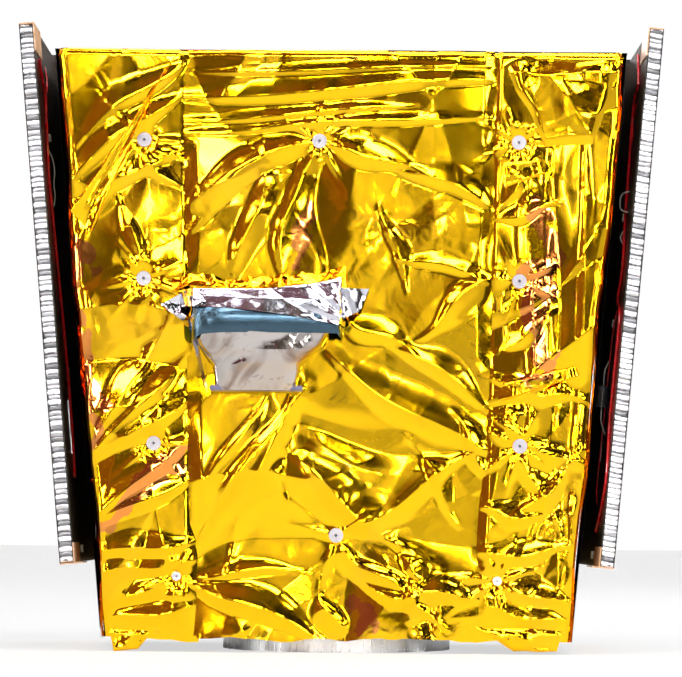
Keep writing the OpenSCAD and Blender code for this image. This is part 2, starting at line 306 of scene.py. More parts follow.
GOLD = (1.0, 0.57, 0.002, 1)
# The copper below is a painted reflection colour, not the film's own.
PAINTED_WARM_REFLECTION = (0.85, 0.27, 0.07, 1)
PAINTED_REFLECTION_SPOTS = [  # where copper reflections of warm things near the film are painted into its colour: x, z, half sizes in mm, slant
    (-227, 275, 14, 105, 0.10), (-29, 379, 10, 34, -0.1), (184, 329, 13, 92, 0.02), (27, 34, 9, 20, 0.5),
    (-178, 146, 15, 42, -1.0),
]
gold_film = film_finish("gold film", GOLD, (0.42, 0.24, 0.005, 1), (0.95, 0.42, 0.05, 1), crease=0.3,
                        lights=PAINTED_REFLECTION_SPOTS)
# Painted shade: a darker copy of the gold film for the sides, in the gap between body and wings.
gold_film_shaded = film_finish("gold film, painted shade", (0.42, 0.22, 0.008, 1), (0.2, 0.11, 0.01, 1), (0.4, 0.2, 0.03, 1), 0.05, 0.12)
# Painted reflections: these films get the same painted patches, much stronger on the taut silver and the blue-grey
# film.
silver_film = film_finish("silver film", (0.66, 0.66, 0.74, 1), (0.35, 0.36, 0.44, 1),
                          (0.80, 0.76, 0.76, 1), 0.10, 0.5)
mirror_film = film_finish("silver film, taut", (0.52, 0.48, 0.46, 1), (0.16, 0.13, 0.12, 1),
                          (0.22, 0.15, 0.11, 1), 0.08, 0.4, spots=2.6, strength=5.5)
band_film = film_finish("blue-grey film", (0.050, 0.095, 0.135, 1), (0.02, 0.04, 0.06, 1),
                        (0.11, 0.18, 0.22, 1), 0.22, 0.3, spots=2.0, strength=4.0)

# %% Metal finishes
def metal_finish(name, color, roughness, grain=400.0, stretch=(1, 1, 0.06), marks=0.3, depth=0.0001):
    finish = new_finish(name, Metallic=1.0)
    place = finish.place()
    lines = finish.noise(finish.scaled(place, stretch), grain, detail=3.0)
    stain = finish.noise(place, 14.0, detail=4.0, distortion=0.8)
    dark = tuple(0.62 * part for part in color[:3]) + (1,)
    shade = finish.mix(stain.step(0.45, 0.75) * marks, color, dark)
    finish.feed(finish.shader.inputs["Base Color"], shade)
    finish.feed(finish.shader.inputs["Roughness"], lines * 0.18 + (roughness - 0.09) + stain * 0.06)
    finish.feed(finish.shader.inputs["Normal"], finish.bump(lines, 0.3, depth))
    return finish.material


plate_metal = metal_finish("plate aluminium", (0.62, 0.63, 0.65, 1), 0.34)
ring_metal = metal_finish("turned aluminium", (0.70, 0.71, 0.73, 1), 0.26)
pin_metal = metal_finish("steel", (0.55, 0.55, 0.57, 1), 0.2)
hinge_metal = metal_finish("anodised hinge", (0.58, 0.58, 0.6, 1), 0.36)
# Painted light and shade: three copies of one foil, lit, half shaded and shaded, stand in for how light falls on the
# cell walls.
FOIL_SHADES = {"bright": 0.96, "middle": 0.58, "shaded": 0.27}
foil = {word: metal_finish(f"honeycomb foil, {word}", (shade, shade, 1.05 * shade, 1), 0.3, grain=260.0,
                           stretch=(1, 1, 1), marks=0.55, depth=0.0004)
        for word, shade in FOIL_SHADES.items()}

# %% Other finishes
def plain_finish(name, color, second, roughness, scale=40.0, coat=0.0, bump=0.0002):
    """A mottled plastic or paint: two near colours, uneven gloss and a faint grain."""
    finish = new_finish(name)
    finish.shader.inputs["Coat Weight"].default_value = coat
    place = finish.place()
    mottle = finish.noise(place, scale, detail=4.0, distortion=0.6)
    finish.feed(finish.shader.inputs["Base Color"], finish.mix(mottle.step(0.35, 0.65), color, second))
    finish.feed(finish.shader.inputs["Roughness"], mottle * 0.16 + (roughness - 0.08))
    grain = finish.noise(place, scale * 22, detail=2.0)
    finish.feed(finish.shader.inputs["Normal"], finish.bump(grain, 0.25, bump))
    return finish.material


button_plastic = plain_finish("button plastic", (0.64, 0.62, 0.66, 1), (0.56, 0.53, 0.58, 1), 0.4)
tie_plastic = plain_finish("tie nylon", (0.82, 0.82, 0.78, 1), (0.7, 0.7, 0.66, 1), 0.4)
red_wire = plain_finish("red insulation", (0.75, 0.012, 0.02, 1), (0.5, 0.006, 0.012, 1), 0.28, 90, 0.3)
white_wire = plain_finish("white insulation", (0.8, 0.8, 0.78, 1), (0.66, 0.66, 0.64, 1), 0.35)
clip_tape = plain_finish("peach clip tape", (0.80, 0.50, 0.33, 1), (0.60, 0.33, 0.14, 1), 0.4, 60, 0.2)
capsule_plastic = plain_finish("capsule", (0.05, 0.055, 0.06, 1), (0.08, 0.085, 0.09, 1), 0.38)
block_paint = plain_finish("black paint", (0.03, 0.03, 0.03, 1), (0.05, 0.05, 0.05, 1), 0.5)
brown_tape = plain_finish("amber edge tape", (0.062, 0.054, 0.034, 1), (0.034, 0.029, 0.020, 1), 0.4, 25, 0.5)


def laminate_finish():
    """Black woven laminate, satin, with a slight brown cast."""
    finish = new_finish("black laminate", Specular_IOR_Level=0.22)
    place = finish.place()
    weave = finish.value("ShaderNodeTexWave", {"Vector": place, "Scale": 160.0, "Distortion": 0.3},
                         wave_type="BANDS", bands_direction="DIAGONAL")
    dust = finish.noise(place, 7.0, detail=5.0, distortion=0.5)
    shade = finish.mix(dust.step(0.4, 0.75), (0.016, 0.013, 0.012, 1), (0.045, 0.036, 0.030, 1))
    finish.feed(finish.shader.inputs["Base Color"], shade)
    finish.feed(finish.shader.inputs["Roughness"], dust * 0.25 + 0.3)
    finish.feed(finish.shader.inputs["Normal"], finish.bump(weave, 0.12, 0.0001))
    return finish.material


def cell_finish():
    """Solar cells: near-black blue under cover glass, with fine silver fingers."""
    finish = new_finish("solar cells", Coat_Roughness=0.03)
    finish.shader.inputs["Coat Weight"].default_value = 1.0
    place = finish.place()
    parts = finish.node("ShaderNodeSeparateXYZ", {0: place})
    height = Value(finish, parts.outputs["Z"])
    fingers = (height * 500.0).math("FRACT")
    fingers = fingers.math("PINGPONG", 0.5).step(0.055, 0.03)
    tint = finish.noise(place, 12.0, detail=2.0)
    base = finish.mix(tint.step(0.35, 0.65), (0.006, 0.009, 0.035, 1), (0.010, 0.014, 0.06, 1))
    shade = finish.mix(fingers * 0.55, base, (0.30, 0.31, 0.34, 1))
    finish.feed(finish.shader.inputs["Base Color"], shade)
    finish.feed(finish.shader.inputs["Metallic"], fingers * 0.6)
    finish.feed(finish.shader.inputs["Roughness"], tint * 0.1 + 0.22)
    return finish.material


laminate = laminate_finish()
cells = cell_finish()

# %% [markdown]
# ## Finishes for the hard parts
# The plates, hinges, clips, rings and cells keep the solids' own meshes. Only their material slots
# change.

# %% Paint the frame
NODE_FINISH = {
    "separation_ring": ring_metal, "base_plate": plate_metal, "top_plate": plate_metal,
    "front_panel": plate_metal, "side_panel": plate_metal, "rear_panel": laminate,
    "rear_cells": cells, "avionics_block": block_paint, "blanket_buttons": button_plastic,
    "blanket_studs": ring_metal, "sensor_housing": mirror_film, "hinge_frame": hinge_metal,
    "hinge_pins": pin_metal, "wing_inner_skin": laminate, "wing_outer_skin": laminate,
    "wing_cells": cells, "wing_clips": clip_tape, "wing_hinge": hinge_metal,
    "wing_harness": red_wire, "wing_tie_bases": tie_plastic, "harness_capsule": capsule_plastic,
}
for node_name, node in nodes.items():
    for start, material in NODE_FINISH.items():
        if node_name.startswith(start):
            node.data.materials.clear()
            node.data.materials.append(material)

# %% [markdown]
# ## Crumpled film as a height
# Thin film can't stretch, so it folds into flat facets that meet in sharp creases. Smooth noise looks
# like cloth; a height that is linear over each triangle of a lattice looks like film. Bending the
# lattice hides its order, and long folds are added where the film is pulled between two points.

# %% Relief helpers
def smooth_noise(x, z, size, seed):
    """Soft random height, from -1 to 1, with bumps about `size` apart."""
    table = np.random.default_rng(seed).uniform(-1, 1, (64, 64))
    u, v = x / size + 31.7, z / size + 17.3
    i, j = np.floor(u).astype(int), np.floor(v).astype(int)
    fu, fv = u - i, v - j
    fu, fv = fu * fu * (3 - 2 * fu), fv * fv * (3 - 2 * fv)
    low = table[i % 64, j % 64] * (1 - fu) + table[(i + 1) % 64, j % 64] * fu
    high = table[i % 64, (j + 1) % 64] * (1 - fu) + table[(i + 1) % 64, (j + 1) % 64] * fu
    return low * (1 - fv) + high * fv


def facets(x, z, size, seed, turn=0.0, stretch=1.0):
    """Random height, from -1 to 1, that is flat over each triangle of a bent lattice."""
    bend = 0.55 * size
    x, z = (x + bend * smooth_noise(x, z, 1.7 * size, seed + 1),
            z + bend * smooth_noise(x, z, 1.5 * size, seed + 2))
    u = (x * math.cos(turn) + z * math.sin(turn)) / (size * stretch) + 40.5
    v = (z * math.cos(turn) - x * math.sin(turn)) / size + 40.5
    random = np.random.default_rng(seed)
    table, diagonal = random.uniform(-1, 1, (96, 96)), random.random((96, 96)) < 0.5
    i, j = np.floor(u).astype(int), np.floor(v).astype(int)
    fu, fv = u - i, v - j
    i, j = i % 95, j % 95
    h00, h10, h01, h11 = table[i, j], table[i + 1, j], table[i, j + 1], table[i + 1, j + 1]
    rising = np.where(fu > fv, h00 + fu * (h10 - h00) + fv * (h11 - h10),
                      h00 + fv * (h01 - h00) + fu * (h11 - h01))
    falling = np.where(fu + fv < 1, h00 + fu * (h10 - h00) + fv * (h01 - h00),
                       h11 + (1 - fu) * (h01 - h11) + (1 - fv) * (h10 - h11))
    return np.where(diagonal[i, j], rising, falling)


def fold(x, z, row):
    """One long fold from a point to a point: [x1, z1, x2, z2, width, height] in millimetres."""
    x1, z1, x2, z2, width, height = (item * MM for item in row)
    width, height = 1.3 * width, 0.62 * height
    z = z - FOLD_FLOOR
    length = math.hypot(x2 - x1, z2 - z1)
    along = ((x - x1) * (x2 - x1) + (z - z1) * (z2 - z1)) / length ** 2
    across = ((z - z1) * (x2 - x1) - (x - x1) * (z2 - z1)) / length
    across = across + 0.22 * width * np.sin(along * 5.0 + 40 * x1)
    inside = np.clip(along, 0, 1)
    ends = np.clip(1 - ((along - inside) * length / (1.2 * width)) ** 2, 0, 1)
    grow = width * (0.35 + 0.9 * np.sin(math.pi * np.clip(inside * 0.9 + 0.08, 0, 1)))
    side = np.where(across > 0, across / grow, -across / (0.55 * grow))
    crest = np.clip(1 - side, 0, 1)
    crest = crest * crest * (1.6 - 0.6 * crest)
    swell = (0.25 + 0.75 * np.sin(math.pi * inside)) * ends
    return height * crest * swell


def pinned(x, z, pins, radius):
    """1 away from every pin, 0 at a pin."""
    free = np.ones_like(x)
    for px, pz in pins:
        free = free * (1 - np.exp(-((x - px * MM) ** 2 + (z - pz * MM) ** 2) / (radius * MM) ** 2))
    return free


def puckers(x, z, pins, reach, height):
    """Small folds that radiate from each pin."""
    total = np.zeros_like(x)
    for number, (px, pz) in enumerate(pins):
        dx, dz = x - px * MM, z - pz * MM
        far = np.hypot(dx, dz) / (reach * MM)
        turn = np.arctan2(dz, dx)
        rays = np.abs(np.sin(turn * (3.5 if number % 2 else 2.5) + number * 1.3
                             + 0.5 * np.sin(3 * turn + number)))
        total = total + (1 - rays) ** 2 * np.clip(far * 3, 0, 1) * np.exp(-far * far)
    return total * height * MM

# %% [markdown]
# ## Making a sheet
# A grid is added with the grid primitive and cut fine enough for sharp creases. Its points then move
# to the place that a function gives them. This is sculpting, written down: the same points, moved by
# a rule rather than by a brush.

# %% Sheet helper
def deselect():
    bpy.ops.object.select_all(action="DESELECT")


def film_sheet(name, columns, rows, shape, material, body="body"):
    """A sheet of columns by rows; shape(u, v) gives its points for u and v from 0 to 1."""
    deselect()
    bpy.ops.mesh.primitive_grid_add(x_subdivisions=columns, y_subdivisions=rows, size=1)
    sheet = bpy.context.object
    sheet.name = name
    count = len(sheet.data.vertices)
    points = np.empty(count * 3)
    sheet.data.vertices.foreach_get("co", points)
    points = points.reshape(-1, 3)
    placed = np.stack(shape(points[:, 0] + 0.5, points[:, 1] + 0.5), axis=1)
    sheet.data.vertices.foreach_set("co", placed.ravel())
    sheet.data.update()
    sheet.data.shade_smooth()
    if material:
        sheet.data.materials.append(material)
    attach(sheet, body)
    print(name, count, "points")
    return sheet


def face_out(sheet, way):
    """Turns the faces so that they look along way."""
    total = sum((Vector(f.normal) * f.area for f in sheet.data.polygons), Vector())
    if total.dot(Vector(way)) < 0:
        sheet.data.flip_normals()


# %% Front blankets
front_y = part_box("front_blanket_middle")[0][1]
film_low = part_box("front_blanket_middle")[0][2]
film_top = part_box("front_blanket_middle")[1][2]
seam_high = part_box("front_blanket_middle")[1][0]
edge_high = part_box("front_blanket_right")[1][0]
side_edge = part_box("side_blanket_right")


def widest(node_name, height, within=0.002):
    """The largest x of a node's points near a height."""
    points = [v.co for v in nodes[node_name].data.vertices]
    return max(p.x for p in points if abs(p.z - height) < within)


def middles(node_name):
    """The middle of each separate piece of a node, as [(x, z)] in millimetres."""
    points = sorted(((v.co.x, v.co.z) for v in nodes[node_name].data.vertices))
    groups = []
    for point in points:
        near = [g for g in groups if math.dist(g[0], point) < 0.02]
        if near:
            near[0].append(point)
        else:
            groups.append([point])
    return [tuple(1000 * (min(p[i] for p in g) + max(p[i] for p in g)) / 2 for i in (0, 1)) for g in groups]


SEAM_LOW = widest("front_blanket_middle", film_low)
EDGE_LOW = widest("front_blanket_right", film_low)
BUTTONS = middles("blanket_buttons")
STUDS = middles("blanket_studs")
PINS = BUTTONS + STUDS
FOLD_FLOOR = film_low - 3 * MM      # heights in the tables of folds are counted from here
print("buttons at", [tuple(round(c) for c in b) for b in BUTTONS])

# Folds: [x1, z1, x2, z2, width, height] in millimetres
MIDDLE_FOLDS = [
    [-142, 499, 143, 511, 15, 6], [-142, 521, 143, 525, 7, 2.5], [-142, 476, 60, 487, 8, 3.5],
    [-60, 470, 143, 482, 7, 3], [-142, 464, 20, 474, 6, 2.5], [-18, 463, -142, 402, 22, 6.5],
    [-22, 452, -128, 380, 20, -5], [-14, 462, 62, 430, 16, 6], [58, 432, 146, 397, 14, 4.5],
    [-40, 430, -54, 335, 18, 6.5], [-14, 448, -18, 345, 24, -6], [-70, 432, -92, 335, 18, 6.5],
    [140, 337, 84, 290, 15, 7], [2, 300, 56, 268, 17, 5.5], [55, 270, 132, 218, 13, 5],
    [8, 250, 134, 168, 20, 7.5], [-40, 225, -126, 92, 13, 6], [-46, 222, -96, 80, 15, 6.5],
    [-36, 220, -46, 130, 20, -6], [-66, 222, -120, 142, 9, 4], [-28, 190, 112, 170, 24, -7],
    [-1, 100, 116, 164, 22, 8], [-36, 160, 72, 80, 20, 7], [-30, 120, 60, 60, 14, -5],
    [-128, 56, -22, 6, 16, 7], [-126, 62, -40, 66, 10, 4], [-3, 98, 58, 44, 20, 7],
    [58, 44, 122, 44, 14, 6], [60, 84, 72, 46, 14, 7], [4, 6, -12, 44, 14, 6],
    [92, 6, 76, 42, 14, -6], [20, 60, 90, 20, 10, 4], [110, 200, 138, 150, 12, 6],
    [60, 350, 140, 330, 10, 3], [40, 390, 60, 330, 9, 3.5], [70, 180, 104, 120, 12, 6],
]
LEFT_FOLDS = [
    [-232, 460, -146, 530, 14, 6], [-240, 425, -150, 500, 14, 6.5], [-238, 392, -146, 452, 12, 5],
    [-228, 380, -190, 455, 12, 5], [-190, 460, -148, 440, 9, 4], [-186, 445, -150, 415, 9, 4],
    [-224, 166, -160, 286, 14, 7], [-222, 164, -140, 262, 14, 7], [-222, 162, -136, 222, 13, 6],
    [-226, 300, -222, 180, 14, 5], [-216, 110, -134, 190, 13, 6], [-218, 104, -134, 150, 12, 6],
    [-214, 78, -132, 92, 12, 6], [-212, 60, -134, 74, 11, 5], [-208, 30, -146, 60, 11, 5],
    [-200, 20, -132, 32, 10, 5], [-178, 329, -196, 396, 10, 4], [-170, 318, -182, 262, 9, -4],
]
RIGHT_FOLDS = [
    [176, 430, 172, 216, 17, 6], [198, 440, 196, 210, 15, -5.5], [224, 470, 214, 90, 9, 4],
    [150, 400, 172, 440, 10, 5], [146, 386, 190, 398, 10, 5], [148, 236, 212, 222, 14, 7.5],
    [146, 214, 206, 240, 12, -5], [212, 165, 150, 196, 14, 7], [214, 165, 168, 120, 14, 7.5],
    [212, 163, 188, 110, 12, -6], [164, 180, 196, 112, 12, 6], [140, 120, 184, 114, 12, 6],
    [138, 80, 200, 86, 12, 6], [146, 58, 206, 36, 12, 6], [150, 30, 204, 20, 10, 5],
    [190, 300, 150, 268, 9, 4], [164, 329, 150, 276, 10, -5],
]
CRUMPLED = [  # where the film is finely crumpled: x, z and size in millimetres
    (30, 372, 36), (92, 368, 32), (-172, 432, 26), (-150, 368, 24), (-190, 14, 34), (182, 146, 26),
    (70, 38, 34), (-84, 20, 28), (196, 20, 34), (190, 232, 22), (180, 420, 20), (-214, 60, 18),
]


def relief(x, z, folds, seed, calm=1.0):
    """How far the film stands out of its seat, in metres."""
    height = 7.0 * MM * facets(x, z, 0.078, seed, turn=0.6, stretch=1.7)
    height = height + 1.7 * MM * facets(x, z, 0.044, seed + 10, turn=1.1, stretch=2.0) * calm
    rough = sum(np.exp(-((x - rx * MM) ** 2 + (z - FOLD_FLOOR - rz * MM) ** 2) / (size * MM) ** 2)
                for rx, rz, size in CRUMPLED)
    rough = np.clip(rough * (0.8 + 0.5 * smooth_noise(x, z, 0.03, seed + 20)), 0, 1)
    height = height + 0.6 * MM * facets(x, z, 0.016, seed + 30, turn=0.2, stretch=1.8) * rough
    height = height + 0.08 * MM * facets(x, z, 0.006, seed + 40, turn=0.9) * rough
    for row in folds:
        height = height + fold(x, z, row)
    height = height + puckers(x, z, PINS, 30, 2.6)
    height = (height + 2.5 * MM) * pinned(x, z, PINS, 9)
    soft = 2.2 * MM
    height = soft * np.log1p(np.exp((height + 1 * MM) / soft))
    return 15 * MM * np.tanh(height / (15 * MM)) - 2.5 * MM


def edge_half(z):
    """Half the width of the film at a height, at the body's front corners."""
    share = (z - film_low) / (film_top - film_low)
    return EDGE_LOW + (edge_high - EDGE_LOW) * share


def seam_half(z):
    share = (z - film_low) / (film_top - film_low)
    return SEAM_LOW + (seam_high - SEAM_LOW) * share


def hem(x, seed):
    """An uneven lower edge."""
    return 3.5 * MM * facets(x, x * 0, 0.05, seed) + 1.5 * MM * facets(x, x * 0, 0.017, seed + 1)


def middle_shape(u, v):
    z = film_low + v * (film_top - film_low)
    half = seam_half(z) + 1.5 * MM
    x = (2 * u - 1) * half
    z = z + (1 - v) ** 6 * (hem(x, 5) + 1 * MM)
    out = relief(x, z, MIDDLE_FOLDS, 3) + 1.2 * MM
    near_edge = np.clip((0.012 - (half - np.abs(x))) / 0.012, 0, 1)
    out = out * (1 - near_edge) + near_edge * np.clip(out, 0, 2.0 * MM)
    top = np.clip((z - film_top + 0.006) / 0.006, 0, 1)
    return x, front_y - out + top * top * 4 * MM, z


def side_piece(side, folds, seed):
    def shape(u, v):
        z = film_low + v * (film_top - film_low)
        inner = seam_half(z) - 6 * MM
        outer = edge_half(z) + 2.2 * MM * facets(z * 0 + side, z, 0.045, seed + 3)
        x = side * (inner + u * (outer - inner))
        z = z + (1 - v) ** 6 * (hem(x, seed) + 1 * MM)
        out = relief(x, z, folds, seed)
        roll = np.clip((u * (outer - inner) - (outer - inner) + 0.010) / 0.010, 0, 1)
        out = out * (1 - roll * roll) - roll * roll * 6 * MM
        top = np.clip((z - film_top + 0.006) / 0.006, 0, 1)
        tuck = np.clip((0.010 - u * (outer - inner)) / 0.010, 0, 1)
        return x, front_y - out * (1 - tuck) + top * top * 4 * MM + tuck * 0.5 * MM, z
    return shape


film_middle = film_sheet("film_front_middle", 190, 355, middle_shape, gold_film)
film_left = film_sheet("film_front_left", 80, 355, side_piece(-1, LEFT_FOLDS, 41), gold_film)
film_right = film_sheet("film_front_right", 80, 355, side_piece(1, RIGHT_FOLDS, 83), gold_film)
for film, node_name in ((film_middle, "front_blanket_middle"), (film_left, "front_blanket_left"),
                        (film_right, "front_blanket_right")):
    face_out(film, (0, -1, 0))
    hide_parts(node_name)

# %% [markdown]
# ## Side and top film
# Between the wings the film is pulled flat round the body, mirrors the wings' dark inner faces, and has its gold
# painted darker as painted shade.
# It follows the bent side of the body: wider behind the knee than at the front.

# %% Side and top film
lean = math.asin(frame["record"]["behaviour"]["joints"][0]["axis"][0])
side_low, side_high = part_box("side_blanket_right")
top_low, top_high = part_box("top_blanket")
GAP_FRONT = 19 * MM
GAP_REAR = 9 * MM
KNEE = front_y + 165 * MM
film_rear = side_high[1]
wing_floor_half = EDGE_LOW - film_low * math.tan(lean) + GAP_FRONT / math.cos(lean)


def body_half(y, z):
    """Half the body's width at a depth and height."""
    gap = np.interp(y, [front_y, KNEE], [GAP_FRONT, GAP_REAR])
    return wing_floor_half + z * math.tan(lean) - gap / math.cos(lean)


def side_shape(side):
    def shape(u, v):
        y = front_y + 1 * MM + u * (film_rear - front_y - 1 * MM)
        z = film_low + v * (film_top - film_low)
        ease = np.clip(np.minimum(u, 1 - u) * 12, 0, 1) * np.clip(np.minimum(v, 1 - v) * 16, 0, 1)
        wave = 1.3 * MM * facets(y, z, 0.07, 17 + side, 1.2, 1.8) + 0.7 * MM * facets(y, z, 0.03, 27 + side, 0.5, 1.8)
        z = z + (1 - v) ** 6 * hem(y + side, 12)
        return side * (body_half(y, z) + wave * ease), y, z
    return shape


def top_shape(u, v):
    y = front_y + 3 * MM + v * (film_rear - front_y - 3 * MM)
    half = body_half(y, film_top) + 0.5 * MM
    x = (2 * u - 1) * half
    ease = np.clip(np.minimum(u, 1 - u) * 14, 0, 1) * np.clip(np.minimum(v, 1 - v) * 9, 0, 1)
    wave = 2.0 * MM * facets(x, y, 0.06, 61, 0.3, 1.7) + 1.0 * MM * facets(x, y, 0.025, 67, 0.9)
    return x, y, film_top + (wave + 2 * MM) * ease


for side, word in ((-1, "left"), (1, "right")):
    film = film_sheet(f"film_side_{word}", 90, 200, side_shape(side), gold_film_shaded)
    face_out(film, (side, 0, 0))
    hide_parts(f"side_blanket_{word}")
film = film_sheet("film_top", 200, 90, top_shape, gold_film)
face_out(film, (0, 0, 1))
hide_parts("top_blanket")

# %% [markdown]
# ## Folded flaps
# Where the film was too wide it was folded over and taped down at the corners. Each flap is a small
# sheet of its own that lies a few millimetres above the film, held at one edge.

# %% Flaps
def flap_shape(corners, lift, seed, size=0.016, height=1.6, lengthwise=0.0):
    """A flap between four corners, (x, z) in millimetres, from the held edge to the free one."""
    (ax, az), (bx, bz), (cx, cz), (dx, dz) = corners

    def shape(u, v):
        x = ((ax * (1 - u) + bx * u) * (1 - v) + (dx * (1 - u) + cx * u) * v) * MM
        z = ((az * (1 - u) + bz * u) * (1 - v) + (dz * (1 - u) + cz * u) * v) * MM + FOLD_FLOOR
        rim = np.minimum(np.minimum(u, 1 - u), 1 - v)
        crumple = height * MM * facets(x, z, size, seed, 0.4, 1.5) + 0.2 * height * MM * facets(x, z, size / 2.4, seed + 1)
        crumple = crumple * (1 if not lengthwise else 0.35 + 1.6 * v ** 6)
        ribs = lengthwise * MM * (np.abs(2 * u - 1 + 0.15 * np.sin(4 * v)) ** 1.4
                                  + 0.15 * np.abs(np.sin(u * 9 + 1.2 * np.sin(3 * v))))
        wobble = 1.5 * MM * smooth_noise(x, z, 0.02, seed + 5)
        out = lift * MM * np.clip(v * 4 + 0.25, 0, 1) + crumple * np.clip(rim * 6, 0.15, 1) + ribs
        out = out - 3.0 * MM * np.clip(1 - rim * 9, 0, 1) ** 2
        return x + wobble, front_y - np.clip(out, 0.5 * MM, 14 * MM), z + wobble
    return shape


FLAPS = [  # name, columns, rows, corners held edge first, lift, seed, facet size, height, ribs
    ("flap_top_left", 50, 150, [(-148, 538), (-161, 522), (-226, 370), (-245, 390)], 6.5, 201, 0.030, 1.2, 3.5),
    ("flap_top_right", 90, 70, [(145, 536), (258, 536), (230, 456), (188, 454)], 7, 207, 0.030, 2.0, 0.0),
    ("flap_small_right", 40, 30, [(146, 440), (182, 442), (186, 428), (149, 414)], 6, 211, 0.012, 1.2, 0.0),
    ("flap_middle_right", 60, 30, [(145, 236), (145, 219), (216, 243), (214, 252)], 8, 217, 0.014, 1.5, 0.0),
    ("flap_low_left", 40, 24, [(-206, 12), (-166, 10), (-178, -5), (-200, -7)], 2.5, 221, 0.010, 1.5, 0.0),
    ("flap_low_right", 60, 30, [(118, 18), (206, 14), (200, -4), (160, -6)], 2.5, 223, 0.014, 1.8, 0.0),
]
for name, columns, rows, corners, lift, seed, size, height, ribs in FLAPS:
    flap = film_sheet(name, columns, rows, flap_shape(corners, lift, seed, size, height, ribs), gold_film)
    face_out(flap, (0, -1, 0))
    (ax, az), (bx, bz), (cx, cz), (dx, dz) = corners
    area = abs((cx - ax) * (dz - bz) - (dx - bx) * (cz - az)) / 2 * MM * MM
    wide, tall = math.dist((ax, az), (bx, bz)) * MM, math.dist((ax, az), (dx, dz)) * MM

# %% [markdown]
# ## Sensor under its hood
# A bowl-shaped sensor housing is wrapped in taut silver film. A hood of film, silver inside and gold
# outside, is folded over its upper half: its silver side faces out and its cut edge shows gold.
# Each surface is swept: a profile from back to front, closed towards the body at both ends.

# %% Sensor pieces
housing_low, housing_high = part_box("sensor_housing")
hood_low, hood_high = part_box("sensor_hood")
housing_middle = (housing_low[0] + housing_high[0]) / 2


def swell(u, square):
    """Across place from -1 to 1 and outward share from 0 to 1, round a box-like section."""
    turn = (u - 0.5) * math.pi
    return np.sign(turn) * np.abs(np.sin(turn)) ** (1 / square), np.abs(np.cos(turn)) ** (1 / square)


def bowl_shape(u, v):
    """The lower part: v from the top down to the rim."""
    across, out = swell(u, 2.6)
    z = housing_high[2] - 6 * MM - v * (housing_high[2] - 6 * MM - housing_low[2])
    left = np.interp(v, [0, 0.19, 0.48, 0.71, 1], [69, 71, 63, 50, 47]) * MM
    right = np.interp(v, [0, 0.19, 0.48, 0.71, 1], [64, 62, 49, 31, 25]) * MM
    reach = np.interp(v, [0, 0.25, 0.55, 0.85, 1], [36, 37, 34, 25, 20]) * MM
    x = housing_middle + np.where(across < 0, across * left, across * right)
    dent = 3.2 * MM * facets(x, z, 0.024, 301, 0.15, 2.0) + 0.8 * MM * facets(x, z, 0.009, 305, 0.4, 1.6)
    ease = np.clip(np.minimum(u, 1 - u) * 8, 0, 1)
    return x, front_y - np.clip(out * reach + dent * ease, 0, 42 * MM), z


def lip_height(u):
    """The hood's lower lip, under its top: long at the right end, short at the left."""
    return hood_high[2] + np.interp(u, [0, 0.3, 0.6, 1], [-15, -17, -22, -32]) * MM


def band_shape(u, v):
    """The blue-grey band just under the hood."""
    across, out = swell(u, 3.0)
    low = hood_low[2] + np.interp(u, [0, 0.14, 0.27, 0.46, 0.8, 0.9, 1], [-7, -6, -1, 1, 1, -3, 4]) * MM
    top = lip_height(u) + 4 * MM
    bulge = 37 * MM + 1.5 * MM * np.sin(v * math.pi) + 1.2 * MM * facets(u * 0.13, top - v * 0.03, 0.02, 311, 0.1, 2.5)
    return housing_middle - 1 * MM + across * 68 * MM, front_y - out * bulge, top - v * (top - low)


def hood_shape(u, v):
    """The silver hood: v from the body over the top to the lower lip."""
    top = hood_high[2] + np.interp(u, [0, 0.1, 0.5, 0.8, 1], [0, 2, 2, 7, 14]) * MM
    x = housing_middle + (-81 + 150 * u) * MM
    z = top + (lip_height(u) - top) * np.clip((v - 0.2) / 0.8, 0, 1) ** 0.8
    reach = np.interp(v, [0, 0.22, 0.5, 1], [-1, 30, 36, 39]) * MM
    fade = np.sqrt(np.clip(u * 9 + 0.1, 0, 1) * np.clip((1 - u) * 30 + 0.05, 0, 1))
    fan = np.arctan2(z - hood_low[2], housing_middle + 0.082 - x)
    crease = 2.4 * MM * facets(x, z, 0.020, 321, 0.12, 2.6) + 0.35 * MM * facets(x, z, 0.009, 325, 0.3, 1.8)
    crease = crease + 1.7 * MM * np.abs(np.sin(fan * 9 + 2 * smooth_noise(x, z, 0.03, 327))) * u
    out = np.clip(reach * fade + crease * np.clip(v * 5, 0, 1), -1 * MM, 41.5 * MM)
    return x + 0.6 * crease, front_y - out, z


def frill_shape(u, v):
    """The hood's cut edge, with its gold side out."""
    x = housing_middle + (-88 + 158 * u) * MM
    ruffle = 2.6 * MM * facets(u * 0.15, v * 0.02, 0.012, 331, 0.2, 1.0)
    crown = np.interp(u, [0, 0.1, 0.3, 0.55, 0.85, 1], [2, 8, 3, 3, 9, 14]) * MM
    z = hood_high[2] + crown + (v - 0.25) * 13 * MM + ruffle
    return x, front_y - 7 * MM - (1 - v) * 14 * MM - ruffle, z


def ear_shape(corners, seed):
    (ax, az), (bx, bz), (cx, cz), (dx, dz) = corners

    def shape(u, v):
        x = ((ax * (1 - u) + bx * u) * (1 - v) + (dx * (1 - u) + cx * u) * v) * MM
        z = ((az * (1 - u) + bz * u) * (1 - v) + (dz * (1 - u) + cz * u) * v) * MM + FOLD_FLOOR
        out = 13 * MM + 5 * MM * (1 - u) + 2.0 * MM * facets(x, z, 0.011, seed)
        return x, front_y - out, z
    return shape


